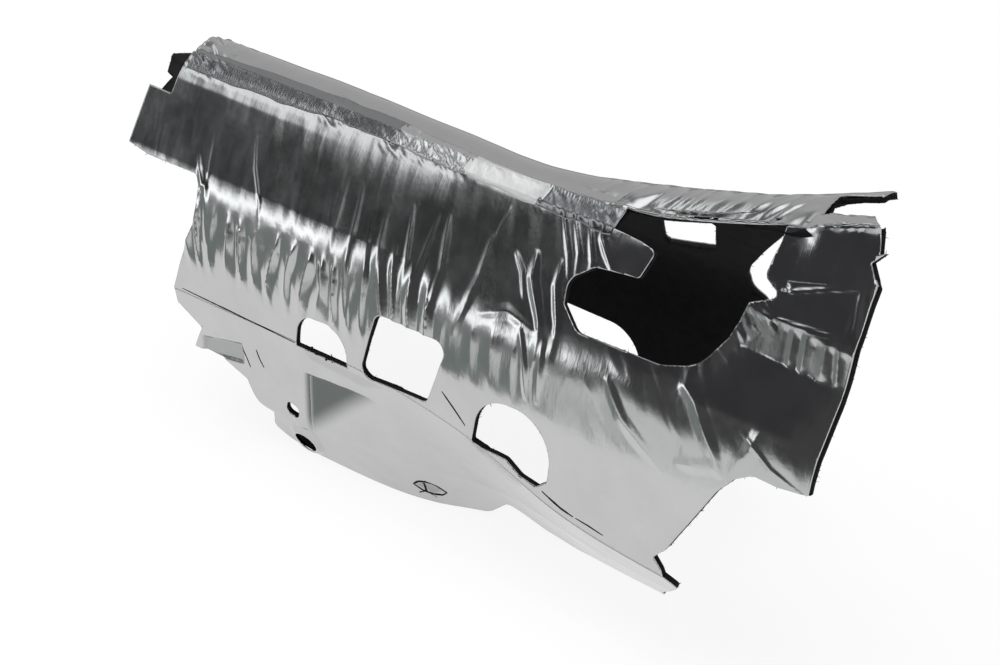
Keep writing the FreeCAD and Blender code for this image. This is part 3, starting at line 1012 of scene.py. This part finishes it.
# How bright the foil's studio is, from straight down at 0 to straight up at 1
TIERS = (
    (0.0, 0.27), (0.05, 0.27), (0.08, 2.6), (0.125, 2.3), (0.20, 0.12), (0.27, 0.04), (0.39, 0.035),
    (0.46, 0.3), (0.54, 1.5), (0.60, 1.5), (0.65, 0.15), (0.78, 0.2), (0.86, 1.7), (1.0, 1.7),
)


def studio_world():
    """A white room for the camera, soft fill for the floor, and for the foil a studio: a bright
    gap along the horizon, a dark wall above it and grey to the back."""
    world = bpy.data.worlds.new("studio")
    bpy.context.scene.world = world
    world.use_nodes = True
    tree = world.node_tree
    way = node(tree, "ShaderNodeTexCoord").outputs["Generated"]
    parts = node(tree, "ShaderNodeSeparateXYZ", {"Vector": way}).outputs
    stops = [(height, (light * 0.98, light, light * 1.02)) for height, light in TIERS]
    tiers = coloured(tree, parts["Z"], *stops)
    aside = rescaled(tree, parts["X"], -0.62, -0.85, 0.0, 0.14, "SMOOTHSTEP")
    wall = mixed(tree, "RGBA", aside, tiers, (0.75, 0.77, 0.8, 1))
    back = rescaled(tree, parts["Y"], 0.05, 0.35, 0.0, 1.0)
    room = mixed(tree, "RGBA", back, wall, (0.58, 0.58, 0.58, 1))
    rays = node(tree, "ShaderNodeLightPath").outputs
    seen = mixed(tree, "RGBA", rays["Is Glossy Ray"], (0.35, 0.35, 0.35, 1), room)
    last = mixed(tree, "RGBA", rays["Is Camera Ray"], seen, (1, 1, 1, 1))
    fill(tree, tree.nodes["Background"], {"Color": last})


def softbox(name, place, aim, size, power):
    """A soft lamp that the foil doesn't mirror."""
    light = bpy.data.lights.new(name, "AREA")
    light.shape = "RECTANGLE"
    light.size, light.size_y = size
    light.energy = power
    lamp = bpy.data.objects.new(name, light)
    bpy.context.scene.collection.objects.link(lamp)
    lamp.visible_glossy = False
    lamp.location = place
    lamp.rotation_euler = (Vector(aim) - Vector(place)).to_track_quat("-Z", "Y").to_euler()


# Where the camera looks, from which side and how high, from how far, and its lens
TARGET = Vector((0.021, -0.053, 0.167))
AZIMUTH, ELEVATION = math.radians(42), math.radians(30)
CAMERA_AWAY = 1.54
LENS, SENSOR = 72, 36


def studio_camera():
    """The camera, as the photograph has it."""
    away = Vector((math.sin(AZIMUTH) * math.cos(ELEVATION),
                   -math.cos(AZIMUTH) * math.cos(ELEVATION), math.sin(ELEVATION)))
    view = bpy.data.cameras.new("camera")
    view.lens = LENS
    view.sensor_width = SENSOR
    camera = bpy.data.objects.new("camera", view)
    bpy.context.scene.collection.objects.link(camera)
    camera.location = TARGET + away * CAMERA_AWAY
    camera.rotation_euler = (-away).to_track_quat("-Z", "Y").to_euler()
    bpy.context.scene.camera = camera


# The materials
wrinkles = fine_wrinkles()
bright_foil = foil_material(
    "bright_foil", wrinkles, (0.53, 0.535, 0.53), rough=(0.10, 0.2), scale=1.0, depth=0.00012)
tape_foil, pale_tape, dark_tape = (
    foil_material(name, wrinkles, base, rough, scale=1.6, depth=0.0002)
    for name, base, rough in (
        ("tape_foil", (0.56, 0.565, 0.56), (0.14, 0.26)),
        ("pale_tape", (0.88, 0.87, 0.86), (0.3, 0.4)),
        ("dark_tape", (0.3, 0.305, 0.31), (0.12, 0.2))))
black_felt = felt_material()


# Where the foil ends before the felt: at the right end, and over the left end's top corner
FOIL_END = (LENGTH / 2 - 0.6) * MM
BARE_CORNER = (-0.3225, -0.04, 0.275)


def without_foil(face):
    """Whether a face lies where the foil is missing."""
    x, y, z = face.calc_center_median()
    corner = x < BARE_CORNER[0] and y < BARE_CORNER[1] and z > BARE_CORNER[2]
    return x > FOIL_END or corner


# Foil facing in three panels, which meet at the fold over the flange and overlap at the roof's
# edge: first and last stretch, columns, rows, lift and what it replaces
FOIL_PANELS = (
    ("foil_flange", "flange", "wall", 560, 112, foil_lift, ()),
    ("foil_side", "wall", "crown", 600, 176, side_lift, ("foil_facing",)),
    ("foil_roof", "roof_edge", None, 360, 190, foil_lift, ()),
)
for name, first, last, columns, rows, lift_of, nodes in FOIL_PANELS:
    high = row_of(last) if last else shell.rows
    panel = trim_to_felt(sheet_grid(name, columns, rows, row_of(first), high))
    remove_faces(panel, without_foil)
    lay_down(panel, lift_of, HEM)
    finish_piece(panel, bright_foil, "foil", *nodes)

# Felt: one moulded wall under the foil, that follows its larger folds
deepest = deepest_foil()
felt = trim_to_felt(sheet_grid("felt_shell", 210, 230, 0, shell.rows))
lay_down(felt, felt_lift, 0)
finish_piece(thicken(felt, FELT_THICK), black_felt, "felt", "felt_backing")

finish_piece(patch_piece(), tape_foil, "tape", "tape_patch")
finish_piece(rim_fibres(felt), black_felt, "felt")
finish_piece(slit_strips("foil_slits"), black_felt, "felt")

# Lengths of seam tape: start, end, gathers along the lower and the upper edge, how smooth it is,
# and its foil
TAPE_LENGTHS = (
    (-316, -150, (1.0, 0.1), 1.0, dark_tape), (-150, -80, (0.2, 0.4), 0.7, dark_tape),
    (-80, -5, (0.4, 0.8), 0.0, tape_foil), (-5, 70, (0.1, 0.2), 0.8, pale_tape),
    (70, 137, (0.1, 1.0), 1.0, dark_tape),
)
TAPE_OVERLAP = 2
for i, (start, end, gathers, smooth, material) in enumerate(TAPE_LENGTHS, 1):
    tape = tape_piece(f"tape_length_{i}", start - TAPE_OVERLAP, end + TAPE_OVERLAP, gathers, smooth)
    finish_piece(tape, material, "tape", f"seam_tape_{i}")

# The studio: floor, what the foil mirrors, light and camera
studio_floor()
table_surround()
upright_card("dark_card", middle=(0.11, -0.27, 0.415), size=(0.22, 0.23),
             material=glow("card", (0.05, 0.05, 0.055))[0])
upright_card("dark_curtain", middle=(0.14, -1.35, 0.91), size=(1.72, 1.38),
             material=curtain_material())
studio_world()
softbox("overhead", place=(-0.2, -0.2, 1.7), aim=(0, 0, 0.15), size=(1.6, 1.3), power=34)
studio_camera()
bpy.context.scene.view_settings.view_transform = "Standard"
